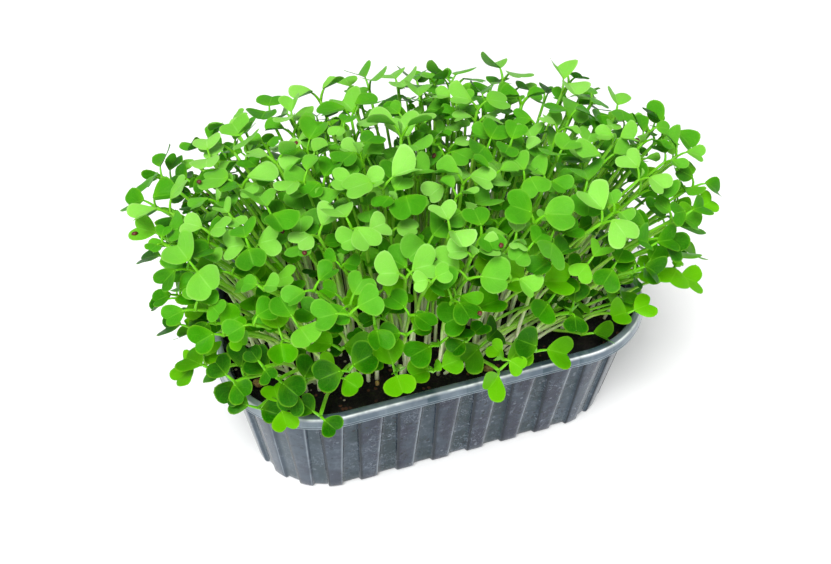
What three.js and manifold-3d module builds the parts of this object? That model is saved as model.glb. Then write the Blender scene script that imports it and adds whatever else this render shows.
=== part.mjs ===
// A fluted clear plastic tray of broccoli microgreens: the tray, its block of growing medium,
// and tufts of young seedlings, each with a pale stem and two notched seed leaves.
// Millimetres, +Z up. The origin is the centre of the tray's flat base, +X along its length.
import * as THREE from "three";
import { mergeVertices } from "three/addons/utils/BufferGeometryUtils.js";
import Module from "manifold-3d";

const wasm = await Module();
wasm.setup();

// Driving dimensions of the tray
const HALF_LENGTH = 95; // at the rim's outer edge
const HALF_WIDTH = 57.5;
const CORNER_RADIUS = 43.5;
const TRAY_HEIGHT = 60.5;
const WALL = 0.8;
const FOOT_INSET = 9.6; // how far the foot stands inside the rim's outline
const WALL_TOP_INSET = 2.7;
const FLUTES = 32;
const FLUTE_DEPTH = 1.4;
const FLUTE_SHARE_TOP = 0.63; // share of one flute's pitch taken by its raised face
const FLUTE_SHARE_FOOT = 0.42;
const FLUTE_FLANK = 0.05; // share of the pitch taken by each flank
const FLUTE_END_HEIGHT = 54.5; // above this the flutes fade into the rim
const FLUTE_END_INSET = 3.2;
const SKIRT_DROP = 4.6; // how far the rim's folded skirt hangs down
const SKIRT_FLARE = 0.8;

// Driving dimensions of the growing medium
const SOIL_TOP = 54;
const FIT_GAP = 0.4; // clear space between pieces that touch in the real object
const TUFT_PITCH_X = 18.2;
const TUFT_PITCH_Y = 17.2;
const TUFT_COLUMNS = 9;
const TUFT_ROWS = 5;
const ROOT_PAD = 13.6; // side of the root mat under one tuft
const ROOT_PAD_DEPTH = 2.6;
const POCKET_FLOOR_GAP = 0.5;
const CORNER_PULL = [2.8, 2.4]; // how far the corner tufts stand in, clear of the tray's round ends

// Driving dimensions of a seedling
const STEM_WIDTH_FOOT = 2.3;
const STEM_WIDTH_TIP = 1.7;
const STEM_SINK = 1.6; // how deep the stem's foot stands in its root mat
const STEM_BEND = 0.55; // height of the stem's bend, as a share of its own
const LEAF_LENGTH = 10.4; // from petiole to lobe tips
const LEAF_WIDTH = 13.6;
const LEAF_THICKNESS = 1.0;
const LEAF_CUP = 0.1; // how far the leaf's sides stand above its midrib, by length
const NOTCH = 0.84; // where the notch between the lobes ends, by length
const NECK = 0.09; // the blade's half width at its petiole, by its own half width
const PETIOLE = 5.6;
const UPRIGHT = 1.1; // how strongly the leaves turn from the stem's direction to straight up

// A leaf's outline from the petiole to the notch, as shares of its length and half width
const LEAF_OUTLINE = [
  [0.2, 0.5],
  [0.62, 1.0],
  [0.99, 0.6],
];

// Driving dimensions of the stand
const PER_TUFT = 5;
const ROOT_REACH = 3.7; // how far the roots stand from their tuft's centre
const STAND_X = 80; // the stand's half length and half width at its roots
const STAND_Y = 42;
const TALLEST = 79; // stem height in the middle of the stand
const EDGE_DROP = 17; // how much shorter the stand is at its edge
const HEIGHT_SPREAD = 8; // how much single stems differ from that
const SHORT_SHARE = [0.12, 0.55]; // share of short seedlings in the middle and at the edge
const SHORTEST = [0.5, 0.22]; // their least height there, as a share
const SHORT_TALLEST = 0.85;
const LEAN_X = [0.18, 0.22]; // outward lean in the middle, and what the edge adds
const LEAN_Y = [0.4, 0.36];
const SHORT_LEAN = 0.75; // short seedlings lean less
const WANDER = [2, 9]; // how far a tip strays, at the first and the last attempt
const REACH_X = 106; // how far from the middle the stem tips may lean
const REACH_Y = 64;
const REACH_POWER = 1.7;
const LEAF_SIZES = [0.72, 1.08];
const PETIOLE_RISES = [0.75, 1.2]; // radians above level, against the leaves' own upright
const BLADE_RISES = [-0.3, 0.3];
const BLADE_ROLL = 0.35;
const BLADE_UNEVEN = 0.2; // one blade of a pair stands up more than the other
const TRIES = 120;
const CLEARANCE = 1.6; // free space kept round every leaf and stem
const RIM_CLEARANCE = 4;

// A seeded draw from 0 to 1, one for each seedling and channel, by stirring the bits of their number
const CHANNELS = 512;
const STIRS = [0x9e3779b1, 0x85ebca6b, 0xc2b2ae35];

function draw(seedling, channel) {
  let h = Math.imul(seedling * CHANNELS + channel + 1, STIRS[0]) >>> 0;
  h = Math.imul(h ^ (h >>> 15), STIRS[1]) >>> 0;
  h = Math.imul(h ^ (h >>> 13), STIRS[2]) >>> 0;
  return ((h ^ (h >>> 16)) >>> 0) / 2 ** 32;
}

function between(low, high, share) {
  return low + (high - low) * share;
}

// A closed mesh from points and triangles
function meshOf(points, triangles) {
  const geometry = new THREE.BufferGeometry();
  geometry.setAttribute("position", new THREE.Float32BufferAttribute(points.flat(), 3));
  geometry.setIndex(triangles.flat());
  return geometry;
}

function solidOf(geometry) {
  const bare = new THREE.BufferGeometry();
  bare.setAttribute("position", geometry.getAttribute("position"));
  bare.setIndex(geometry.getIndex());
  const merged = mergeVertices(bare, 1e-4);
  const mesh = new wasm.Mesh({
    numProp: 3,
    vertProperties: new Float32Array(merged.attributes.position.array),
    triVerts: new Uint32Array(merged.index.array),
  });
  return new wasm.Manifold(mesh);
}

function geometryOf(solid) {
  const mesh = solid.getMesh();
  const positions = new Float32Array(mesh.numVert * 3);
  for (let i = 0; i < mesh.numVert; i++) {
    positions.set(mesh.vertProperties.subarray(i * mesh.numProp, i * mesh.numProp + 3), i * 3);
  }
  const geometry = new THREE.BufferGeometry();
  geometry.setAttribute("position", new THREE.BufferAttribute(positions, 3));
  geometry.setIndex(new THREE.BufferAttribute(new Uint32Array(mesh.triVerts), 1));
  const flat = geometry.toNonIndexed();
  flat.computeVertexNormals();
  return flat;
}

// The rim's outline as a function of the share of its length, with its outward normal
const STRAIGHT_X = HALF_LENGTH - CORNER_RADIUS;
const STRAIGHT_Y = HALF_WIDTH - CORNER_RADIUS;
const ARC = (Math.PI / 2) * CORNER_RADIUS;
const PERIMETER = 4 * (STRAIGHT_X + STRAIGHT_Y + ARC);

function outlineAt(share) {
  // One quadrant runs from the middle of the front side, round a corner, to the middle of an end
  const quarter = PERIMETER / 4;
  const along = (((share % 1) + 1) % 1) * PERIMETER;
  const quadrant = Math.floor(along / quarter + 1e-9) % 4;
  let d = along - quadrant * quarter;
  const mirrored = quadrant % 2 === 1;
  if (mirrored) d = quarter - d;
  let x, y, nx, ny;
  if (d <= STRAIGHT_X) {
    [x, y, nx, ny] = [d, -HALF_WIDTH, 0, -1];
  } else if (d <= STRAIGHT_X + ARC) {
    const a = (d - STRAIGHT_X) / CORNER_RADIUS;
    [nx, ny] = [Math.sin(a), -Math.cos(a)];
    [x, y] = [STRAIGHT_X + CORNER_RADIUS * nx, -STRAIGHT_Y + CORNER_RADIUS * ny];
  } else {
    [x, y, nx, ny] = [HALF_LENGTH, -STRAIGHT_Y + (d - STRAIGHT_X - ARC), 1, 0];
  }
  const sx = quadrant === 0 || quadrant === 1 ? 1 : -1;
  const sy = quadrant === 0 || quadrant === 3 ? 1 : -1;
  return [x * sx, y * sy, nx * sx, ny * sy];
}

// One closed ring: inset from the rim's outline at a height, with flutes of a given strength
function flutedRing(inset, z, strength) {
  const ring = [];
  const faceShare = between(FLUTE_SHARE_FOOT, FLUTE_SHARE_TOP, z / TRAY_HEIGHT);
  const corners = [
    [0.5 - faceShare / 2, 0],
    [0.5 + faceShare / 2, 0],
    [0.5 + faceShare / 2 + FLUTE_FLANK, 1],
    [1.5 - faceShare / 2 - FLUTE_FLANK, 1],
  ];
  for (let flute = 0; flute < FLUTES; flute++) {
    for (const [place, sunk] of corners) {
      const [x, y, nx, ny] = outlineAt((flute + place) / FLUTES);
      const in_ = inset + sunk * strength * FLUTE_DEPTH;
      ring.push([x - nx * in_, y - ny * in_, z]);
    }
  }
  return ring;
}

// A closed body from rings, with a fan across the first and the last one
function loft(rings) {
  const n = rings[0].length;
  const points = rings.flat();
  const triangles = [];
  for (let r = 0; r + 1 < rings.length; r++) {
    for (let i = 0; i < n; i++) {
      const a = r * n + i;
      const b = r * n + ((i + 1) % n);
      triangles.push([a, b, b + n], [a, b + n, a + n]);
    }
  }
  const first = points.push([0, 0, rings[0][0][2]]) - 1;
  const last = points.push([0, 0, rings.at(-1)[0][2]]) - 1;
  const top = (rings.length - 1) * n;
  for (let i = 0; i < n; i++) {
    const j = (i + 1) % n;
    triangles.push([first, j, i], [last, top + i, top + j]);
  }
  return meshOf(points, triangles);
}

// The tray: up the outside, over the rim and its folded skirt, and down the inside
function trayGeometry() {
  const under = TRAY_HEIGHT - WALL;
  const skirt = TRAY_HEIGHT - SKIRT_DROP;
  return loft([
    flutedRing(FOOT_INSET, 0, 1),
    flutedRing(FLUTE_END_INSET, FLUTE_END_HEIGHT, 1),
    flutedRing(WALL_TOP_INSET, under, 0),
    flutedRing(WALL, under, 0),
    flutedRing(WALL - SKIRT_FLARE, skirt, 0),
    flutedRing(-SKIRT_FLARE, skirt, 0),
    flutedRing(0, TRAY_HEIGHT, 0),
    flutedRing(WALL_TOP_INSET + WALL, TRAY_HEIGHT, 0),
    flutedRing(FLUTE_END_INSET + WALL, FLUTE_END_HEIGHT, 1),
    flutedRing(FOOT_INSET + WALL, WALL, 1),
  ]);
}

// The inside face's inset at a height, for what stands inside the tray
function insideInset(z) {
  const share = (z - WALL) / (FLUTE_END_HEIGHT - WALL);
  return between(FOOT_INSET, FLUTE_END_INSET, share) + WALL;
}

// The centres of the tufts: a grid with its corners pulled in, and none at the bare corner
function tuftCentres() {
  const centres = [];
  const lastColumn = (TUFT_COLUMNS - 1) / 2;
  const lastRow = (TUFT_ROWS - 1) / 2;
  for (let row = -lastRow; row <= lastRow; row++) {
    for (let column = -lastColumn; column <= lastColumn; column++) {
      const corner = Math.abs(column) === lastColumn && Math.abs(row) === lastRow;
      if (corner && column < 0 && row < 0) continue;
      const [pullX, pullY] = corner ? CORNER_PULL : [0, 0];
      const x = column * TUFT_PITCH_X - Math.sign(column) * pullX;
      const y = row * TUFT_PITCH_Y - Math.sign(row) * pullY;
      centres.push([x, y]);
    }
  }
  return centres;
}

function boxSolid(centre, side, low, high) {
  const box = new THREE.BoxGeometry(side, side, high - low);
  box.translate(centre[0], centre[1], (low + high) / 2);
  box.deleteAttribute("normal");
  box.deleteAttribute("uv");
  return solidOf(box);
}

// The growing medium fills the tray and has a plain pocket for each tuft's root mat
function soilGeometry(centres) {
  const foot = WALL + FIT_GAP;
  let soil = solidOf(
    loft([
      flutedRing(insideInset(foot) + FIT_GAP, foot, 1),
      flutedRing(insideInset(SOIL_TOP) + FIT_GAP, SOIL_TOP, 1),
    ]),
  );
  const pocketFloor = SOIL_TOP - ROOT_PAD_DEPTH - POCKET_FLOOR_GAP;
  for (const centre of centres) {
    soil = soil.subtract(boxSolid(centre, ROOT_PAD + 2 * FIT_GAP, pocketFloor, TRAY_HEIGHT));
  }
  return geometryOf(soil);
}

// Small vectors
const add = (a, b) => [a[0] + b[0], a[1] + b[1], a[2] + b[2]];
const sub = (a, b) => [a[0] - b[0], a[1] - b[1], a[2] - b[2]];
const scale = (a, k) => [a[0] * k, a[1] * k, a[2] * k];
const dot = (a, b) => a[0] * b[0] + a[1] * b[1] + a[2] * b[2];
const cross = (a, b) => [
  a[1] * b[2] - a[2] * b[1],
  a[2] * b[0] - a[0] * b[2],
  a[0] * b[1] - a[1] * b[0],
];
const unit = (a) => scale(a, 1 / Math.hypot(...a));

// Where a seedling stands and leans at one attempt, and how its leaves lie.
// The first few channels stay the same for every attempt, and each attempt has its own eight.
function seedlingShape(id, centre, slot, attempt) {
  const own = (place) => draw(id, 8 + attempt * 8 + place);
  const either = (reach, place) => between(-reach, reach, own(place));
  const turn = ((slot + draw(id, 0) * 0.5) / PER_TUFT) * 2 * Math.PI + centre[0];
  const x = centre[0] + ROOT_REACH * Math.cos(turn);
  const y = centre[1] + ROOT_REACH * Math.sin(turn);
  const edge = Math.min(1.1, Math.hypot(x / STAND_X, y / STAND_Y));
  const short = draw(id, 1) < between(...SHORT_SHARE, Math.min(1, edge ** 2));
  const shortest = SHORTEST[edge > 0.7 ? 1 : 0];
  const share = short ? between(shortest, SHORT_TALLEST, draw(id, 2)) : 1;
  const height = (TALLEST - EDGE_DROP * edge ** 3) * share + either(HEIGHT_SPREAD, 0);
  const wander = between(...WANDER, attempt / TRIES);
  const leanShare = short ? SHORT_LEAN : 1;
  const leanX = (LEAN_X[0] + LEAN_X[1] * edge ** 2) * leanShare;
  const leanY = (LEAN_Y[0] + LEAN_Y[1] * edge ** 2) * leanShare;
  const tipX = x * (1 + leanX) + either(wander, 1);
  const tipY = y * (1 + leanY) + either(wander, 2);
  const farX = (Math.abs(tipX) / REACH_X) ** REACH_POWER;
  const farY = (Math.abs(tipY) / REACH_Y) ** REACH_POWER;
  const hold = Math.max(1, Math.hypot(farX, farY));
  return {
    id,
    root: [x, y, SOIL_TOP],
    tip: [tipX / hold, tipY / hold, SOIL_TOP + height],
    facing: own(3) * 2 * Math.PI,
    size: between(...LEAF_SIZES, draw(id, 3)),
    rise: between(...PETIOLE_RISES, own(4)),
    spread: between(...BLADE_RISES, own(5)),
    roll: either(BLADE_ROLL, 6),
    uneven: either(BLADE_UNEVEN, 7),
  };
}

// Points and directions of a seedling's stem and leaves
function skeleton(s) {
  const bend = add(s.root, [0, 0, (s.tip[2] - s.root[2]) * STEM_BEND]);
  const middle = add(scale(add(s.root, s.tip), 0.25), scale(bend, 0.5));
  const axis = unit(add(unit(sub(s.tip, bend)), [0, 0, UPRIGHT]));
  const out = [Math.cos(s.facing), Math.sin(s.facing), 0];
  const across = unit(cross(axis, out));
  const forward = unit(cross(across, axis));
  const leaves = [1, -1].map((side) => {
    const away = scale(forward, side);
    const petiole = unit(add(scale(away, Math.cos(s.rise)), scale(axis, Math.sin(s.rise))));
    const lift = s.spread + side * s.uneven;
    const along = unit(add(scale(away, Math.cos(lift)), scale(axis, Math.sin(lift))));
    const base = add(s.tip, scale(petiole, PETIOLE * s.size));
    const level = scale(across, side);
    const above = unit(cross(along, level));
    const wide = add(scale(level, Math.cos(s.roll)), scale(above, side * Math.sin(s.roll)));
    const face = unit(cross(along, wide));
    return { base, along, wide, face, size: s.size };
  });
  return { middle, axis, forward, across, leaves };
}

// A point of a leaf, from shares of its length, half width and length again
function leafPoint(leaf, along, across, lift) {
  const length = LEAF_LENGTH * leaf.size;
  const width = (LEAF_WIDTH / 2) * leaf.size;
  const place = add(leaf.base, scale(leaf.along, along * length));
  return add(add(place, scale(leaf.wide, across * width)), scale(leaf.face, lift * length));
}

// Probe points for keeping leaves and stems clear of each other
const STEM_PROBES = 14; // on each half of a stem
const DISC_MIDDLE = 0.52; // the middle of a leaf's disc, by its length
const DISC_REACH = 0.55;
const LEAF_PROBES = [
  [0, 0, 0],
  [0.5, 0, 0],
  [NOTCH, 0, 0],
  ...[-1, 1].flatMap((side) => [
    [0.2, 0.5 * side, LEAF_CUP],
    [0.62, side, LEAF_CUP],
    [0.5, 0.5 * side, LEAF_CUP / 2],
    [0.99, 0.6 * side, LEAF_CUP],
    [0.82, 0.83 * side, LEAF_CUP],
  ]),
];

function mix(a, b, share) {
  return add(scale(a, 1 - share), scale(b, share));
}

function probes(s) {
  const k = skeleton(s);
  const stem = [];
  for (let i = 1; i <= STEM_PROBES; i++) {
    const share = i / STEM_PROBES;
    stem.push(mix(s.root, k.middle, share), mix(k.middle, s.tip, share));
  }
  for (const leaf of k.leaves) stem.push(mix(s.tip, leaf.base, 0.3), mix(s.tip, leaf.base, 0.7));
  const discs = k.leaves.map((leaf) => ({
    leaf,
    centre: leafPoint(leaf, DISC_MIDDLE, 0, LEAF_CUP / 2),
    points: LEAF_PROBES.map((place) => leafPoint(leaf, ...place)),
  }));
  return { ...s, stem, discs };
}

// Whether a point lies in the flat disc round a leaf, grown by the clearance
function inDisc(point, disc) {
  const d = sub(point, disc.centre);
  const reachAlong = LEAF_LENGTH * DISC_REACH * disc.leaf.size + CLEARANCE;
  const reachAcross = (LEAF_WIDTH / 2) * disc.leaf.size + CLEARANCE;
  const along = dot(d, disc.leaf.along) / reachAlong;
  const across = dot(d, disc.leaf.wide) / reachAcross;
  const above = Math.abs(dot(d, disc.leaf.face));
  return above < LEAF_THICKNESS / 2 + CLEARANCE && along ** 2 + across ** 2 < 1;
}

function near(a, b, distance) {
  const d = sub(a, b);
  return dot(d, d) < distance * distance;
}

const TIPS_APART = 75; // seedlings whose tips are further apart can't touch
const LEAVES_APART = 20;
const STEMS_APART = STEM_WIDTH_FOOT + CLEARANCE / 2;
const FOOT_PROBES = 4; // the first probes of a stem stand in the shared root mat

function clash(a, b) {
  if (Math.hypot(a.tip[0] - b.tip[0], a.tip[1] - b.tip[1]) > TIPS_APART) return false;
  for (const [mine, theirs] of [[a, b], [b, a]]) {
    for (const disc of theirs.discs) {
      if (mine.stem.some((point) => inDisc(point, disc))) return true;
      const close = mine.discs.filter((other) => near(other.centre, disc.centre, LEAVES_APART));
      if (close.some((other) => other.points.some((point) => inDisc(point, disc)))) return true;
    }
  }
  const others = b.stem.slice(FOOT_PROBES);
  return a.stem.slice(FOOT_PROBES).some((p) => others.some((q) => near(p, q, STEMS_APART)));
}

// Whether any part of a seedling comes too low, or too near the tray's rim at the rim's height
function meetsRim(s) {
  const points = [...s.stem, ...s.discs.flatMap((disc) => disc.points)];
  return points.some(([x, y, z]) => {
    if (z < SOIL_TOP - 1) return true;
    if (z > TRAY_HEIGHT + 3 || z < SOIL_TOP + 1) return false;
    const dx = Math.max(0, Math.abs(x) - STRAIGHT_X);
    const dy = Math.max(0, Math.abs(y) - STRAIGHT_Y);
    return Math.hypot(dx, dy) > CORNER_RADIUS - WALL_TOP_INSET - WALL - RIM_CLEARANCE;
  });
}

// The whole stand: each seedling takes its first attempt that is clear of those before it
function growStand(centres) {
  const stand = [];
  for (let slot = 0; slot < PER_TUFT; slot++) {
    centres.forEach((centre, tuft) => {
      const id = tuft * PER_TUFT + slot;
      for (let attempt = 0; attempt < TRIES; attempt++) {
        const candidate = probes(seedlingShape(id, centre, slot, attempt));
        if (meetsRim(candidate)) continue;
        if (stand.some((other) => clash(candidate, other))) continue;
        stand.push({ ...candidate, tuft });
        break;
      }
    });
  }
  return stand;
}

// One seedling as a closed body: a square stem whose top splits into two petioles and blades
function seedlingGeometry(s) {
  const k = skeleton(s);
  const points = [];
  const triangles = [];
  const put = (p) => points.push(p) - 1;
  const quad = (a, b, c, d) => triangles.push([a, b, c], [a, c, d]);
  const ring = (centre, width) => {
    const f = scale(k.forward, width / 2);
    const w = scale(k.across, width / 2);
    return [
      put(add(centre, add(f, scale(w, -1)))),
      put(add(centre, add(f, w))),
      put(add(centre, add(scale(f, -1), w))),
      put(add(centre, add(scale(f, -1), scale(w, -1)))),
    ];
  };
  const middleWidth = (STEM_WIDTH_FOOT + STEM_WIDTH_TIP) / 2;
  const rings = [
    ring(add(s.root, [0, 0, -STEM_SINK]), STEM_WIDTH_FOOT),
    ring(k.middle, middleWidth),
    ring(s.tip, STEM_WIDTH_TIP),
  ];
  quad(rings[0][3], rings[0][2], rings[0][1], rings[0][0]);
  for (let r = 0; r + 1 < rings.length; r++) {
    for (let i = 0; i < 4; i++) {
      const j = (i + 1) % 4;
      quad(rings[r][i], rings[r][j], rings[r + 1][j], rings[r + 1][i]);
    }
  }
  // The ridge between the petioles
  const top = rings.at(-1);
  const ridge = add(s.tip, scale(k.axis, STEM_WIDTH_TIP));
  const half = scale(k.across, STEM_WIDTH_TIP / 2);
  const ridgeNear = put(sub(ridge, half));
  const ridgeFar = put(add(ridge, half));
  triangles.push([top[3], top[0], ridgeNear], [top[1], top[2], ridgeFar]);
  const bases = [
    [top[0], top[1], ridgeFar, ridgeNear],
    [top[2], top[3], ridgeNear, ridgeFar],
  ];
  k.leaves.forEach((leaf, index) => {
    const thin = LEAF_THICKNESS / LEAF_LENGTH / 2;
    const [lowNear, lowFar, highFar, highNear] = bases[index];
    const neckLowNear = put(leafPoint(leaf, 0, -NECK, -thin));
    const neckLowFar = put(leafPoint(leaf, 0, NECK, -thin));
    const neckHighFar = put(leafPoint(leaf, 0, NECK, thin));
    const neckHighNear = put(leafPoint(leaf, 0, -NECK, thin));
    quad(lowNear, lowFar, neckLowFar, neckLowNear);
    quad(lowFar, highFar, neckHighFar, neckLowFar);
    quad(highFar, highNear, neckHighNear, neckHighFar);
    quad(highNear, lowNear, neckLowNear, neckHighNear);
    const nearSide = LEAF_OUTLINE.map(([a, w]) => put(leafPoint(leaf, a, -w, LEAF_CUP)));
    const farSide = LEAF_OUTLINE.map(([a, w]) => put(leafPoint(leaf, a, w, LEAF_CUP)));
    const notch = put(leafPoint(leaf, NOTCH, 0, 0));
    const topMiddle = put(leafPoint(leaf, 0.5, 0, thin));
    const underMiddle = put(leafPoint(leaf, 0.5, 0, -thin));
    const round = [...farSide, notch, ...nearSide.toReversed()];
    const upper = [neckHighNear, neckHighFar, ...round];
    const lower = [neckLowNear, neckLowFar, ...round];
    for (let i = 0; i < upper.length; i++) {
      const j = (i + 1) % upper.length;
      triangles.push([topMiddle, upper[j], upper[i]], [underMiddle, lower[i], lower[j]]);
    }
    triangles.push([neckLowFar, neckHighFar, farSide[0]], [neckHighNear, neckLowNear, nearSide[0]]);
  });
  return meshOf(points, triangles);
}

// A tuft: the seedlings that share one patch of root mat, joined to it
function tuftGeometry(centre, seedlings) {
  const top = SOIL_TOP - FIT_GAP;
  let tuft = boxSolid(centre, ROOT_PAD, top - ROOT_PAD_DEPTH, top);
  for (const s of seedlings) tuft = tuft.add(solidOf(seedlingGeometry(s)));
  return geometryOf(tuft);
}

const materials = {
  tray: new THREE.MeshStandardMaterial({
    color: 0x7d8a94,
    roughness: 0.15,
    metalness: 0,
    transparent: true,
    opacity: 0.5,
  }),
  soil: new THREE.MeshStandardMaterial({ color: 0x14100c, roughness: 1, metalness: 0 }),
  greens: new THREE.MeshStandardMaterial({ color: 0x5aa82a, roughness: 0.5, metalness: 0 }),
};

const group = new THREE.Group();

function addNode(name, geometry, material) {
  const mesh = new THREE.Mesh(geometry, material);
  mesh.name = name;
  group.add(mesh);
}

const centres = tuftCentres();
const stand = growStand(centres);
addNode("tray", trayGeometry(), materials.tray);
addNode("growing_medium", soilGeometry(centres), materials.soil);
centres.forEach((centre, index) => {
  const own = stand.filter((s) => s.tuft === index);
  if (own.length === 0) return;
  const name = "seedling_tuft_" + String(index + 1).padStart(2, "0");
  addNode(name, tuftGeometry(centre, own), materials.greens);
});

export default group;
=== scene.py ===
"""Looks for the tray of broccoli seedlings: fine leaves, stems, growing medium and clear tray.

The stand is grown by the same seeded rule as the CAD source, so each fine seedling lies on its solid one.
Lengths are in millimetres until a mesh is made, and metres in Blender.
"""

import math

import bpy
import numpy as np
from mathutils import Matrix, Vector


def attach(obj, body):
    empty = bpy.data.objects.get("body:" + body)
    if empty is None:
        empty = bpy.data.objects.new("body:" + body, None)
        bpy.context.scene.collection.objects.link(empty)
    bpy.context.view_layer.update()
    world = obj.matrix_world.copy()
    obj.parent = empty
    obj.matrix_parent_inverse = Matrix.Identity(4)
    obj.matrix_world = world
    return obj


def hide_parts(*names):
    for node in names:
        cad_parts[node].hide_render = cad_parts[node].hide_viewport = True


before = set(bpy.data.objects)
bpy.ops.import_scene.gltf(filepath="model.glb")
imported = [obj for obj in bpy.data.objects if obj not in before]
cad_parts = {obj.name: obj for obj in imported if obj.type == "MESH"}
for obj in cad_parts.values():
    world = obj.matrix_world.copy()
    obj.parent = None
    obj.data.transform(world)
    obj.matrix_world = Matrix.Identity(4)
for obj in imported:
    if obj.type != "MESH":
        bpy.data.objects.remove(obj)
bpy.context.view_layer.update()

MM = 0.001

# The tray, as in the CAD source
HALF_LENGTH = 95.0
HALF_WIDTH = 57.5
CORNER_RADIUS = 43.5
TRAY_HEIGHT = 60.5
WALL = 0.8
FOOT_INSET = 9.6
WALL_TOP_INSET = 2.7
FLUTE_END_INSET = 3.2
FLUTES = 32
FLUTE_DEPTH = 1.4
FLUTE_SHARE_TOP = 0.63
FLUTE_SHARE_FOOT = 0.42
FLUTE_FLANK = 0.05
FLUTE_END_HEIGHT = 54.5
SKIRT_DROP = 4.6
SKIRT_FLARE = 0.8

# The growing medium and its root mats, as in the CAD source
SOIL_TOP = 54.0
FIT_GAP = 0.4
TUFT_PITCH_X = 18.2
TUFT_PITCH_Y = 17.2
TUFT_COLUMNS = 9
TUFT_ROWS = 5
CORNER_PULL = (2.8, 2.4)

# A seedling, as in the CAD source
STEM_WIDTH_FOOT = 2.3
STEM_BEND = 0.55
LEAF_LENGTH = 10.4
LEAF_WIDTH = 13.6
LEAF_THICKNESS = 1.0
LEAF_CUP = 0.1
NOTCH = 0.84
PETIOLE = 5.6
UPRIGHT = 1.1

# The stand, as in the CAD source
PER_TUFT = 5
ROOT_REACH = 3.7
STAND_X = 80.0
STAND_Y = 42.0
TALLEST = 79.0
EDGE_DROP = 17.0
HEIGHT_SPREAD = 8.0
SHORT_SHARE = (0.12, 0.55)
SHORTEST = (0.5, 0.22)
SHORT_TALLEST = 0.85
LEAN_X = (0.18, 0.22)
LEAN_Y = (0.4, 0.36)
SHORT_LEAN = 0.75
WANDER = (2.0, 9.0)
REACH_X = 106.0
REACH_Y = 64.0
REACH_POWER = 1.7
LEAF_SIZES = (0.72, 1.08)
PETIOLE_RISES = (0.75, 1.2)
BLADE_RISES = (-0.3, 0.3)
BLADE_ROLL = 0.35
BLADE_UNEVEN = 0.2
TRIES = 120
CLEARANCE = 1.6
RIM_CLEARANCE = 4.0
TIPS_APART = 75.0
LEAVES_APART = 20.0
STEM_PROBES = 14
FOOT_PROBES = 4
PETIOLE_PROBES = (0.3, 0.7)
DISC_MIDDLE = 0.52
DISC_REACH = 0.55

# What this script adds between the CAD seedlings
INFILL = 560
SHORT_INFILL = 330
EDGE_INFILL = 420
EDGE_BAND = 0.55
INFILL_X = 81
INFILL_Y = 43
INFILL_POWER = 3.2
OVER_RIM_SHARE = 0.12
FRONT_CLEAR_Y = -50.0
FRONT_CLEAR_Z = 84.0
INFILL_TRIES = 15
INFILL_CLEARANCE = 0.3
INFILL_STEMS_APART = 1.9
INFILL_SIZES = (0.66, 0.96)
INFILL_BLADE_RISES = (-0.12, 0.42)
INFILL_FIRST_ID = 2000
INFILL_PIECES = 6
BITS_FIRST_ID = 7000
PEBBLES = ((-81.0, -25.0), (12.0, -46.5))
SPRAWLING = 11
SPRAWL_FIRST_ID = 5000
SPRAWL_ROOT_X = (-12, 40)
SPRAWL_ROOT_Y = (-45, -33)
SPRAWL_RUN = ((40, 52), (-3, 9), (10, 25))
SPRAWL_BEND = (0.3, 0.3, 0.75)

# A fine seedling
FINE_CHANNEL = 380
LEAF_CHANNEL = 400
CHANNELS_A_LEAF = 20
STEM_RADII = ((0, 0.12, 0.6, 1), (1.08, 0.86, 0.78, 0.72))
PETIOLE_RADII = (0.62, 0.62, 0.56, 0.5, 0.3)
FOOT_BELOW = 3.0
TRUE_LEAF_SHARE = 0.12
SEED_COAT_SHARE = 0.035
SEED_COAT_RADII = (1.2, 0.95, 0.8)


def draw(seedling, channel):
    """A seeded draw from 0 to 1, the same as in the CAD source."""
    mask = 0xFFFFFFFF
    h = ((seedling * 512 + channel + 1) * 0x9E3779B1) & mask
    h = ((h ^ (h >> 15)) * 0x85EBCA6B) & mask
    h = ((h ^ (h >> 13)) * 0xC2B2AE35) & mask
    return (h ^ (h >> 16)) / (mask + 1)


def between(low, high, share):
    return low + (high - low) * share


def unit(v):
    return v / math.sqrt(float(v @ v))


# The tray's outline

STRAIGHT_X = HALF_LENGTH - CORNER_RADIUS
STRAIGHT_Y = HALF_WIDTH - CORNER_RADIUS
ARC = math.pi / 2 * CORNER_RADIUS
PERIMETER = 4 * (STRAIGHT_X + STRAIGHT_Y + ARC)


def outline(share):
    """Points and outward normals of the rim's outline at shares of its length."""
    quarter = PERIMETER / 4
    along = np.mod(share, 1.0) * PERIMETER
    quadrant = np.floor(along / quarter + 1e-9).astype(int) % 4
    d = along - quadrant * quarter
    d = np.where(quadrant % 2 == 1, quarter - d, d)
    a = np.clip((d - STRAIGHT_X) / CORNER_RADIUS, 0, math.pi / 2)
    nx, ny = np.sin(a), -np.cos(a)
    y = -STRAIGHT_Y + CORNER_RADIUS * ny + np.maximum(0, d - STRAIGHT_X - ARC)
    x = np.where(d > STRAIGHT_X, STRAIGHT_X + CORNER_RADIUS * nx, d)
    sx = np.where((quadrant == 0) | (quadrant == 1), 1.0, -1.0)
    sy = np.where((quadrant == 0) | (quadrant == 3), 1.0, -1.0)
    return x * sx, y * sy, nx * sx, ny * sy


def smooth(t):
    t = np.clip(t, 0, 1)
    return t * t * (3 - 2 * t)


FLUTE_POINTS = 16


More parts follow.
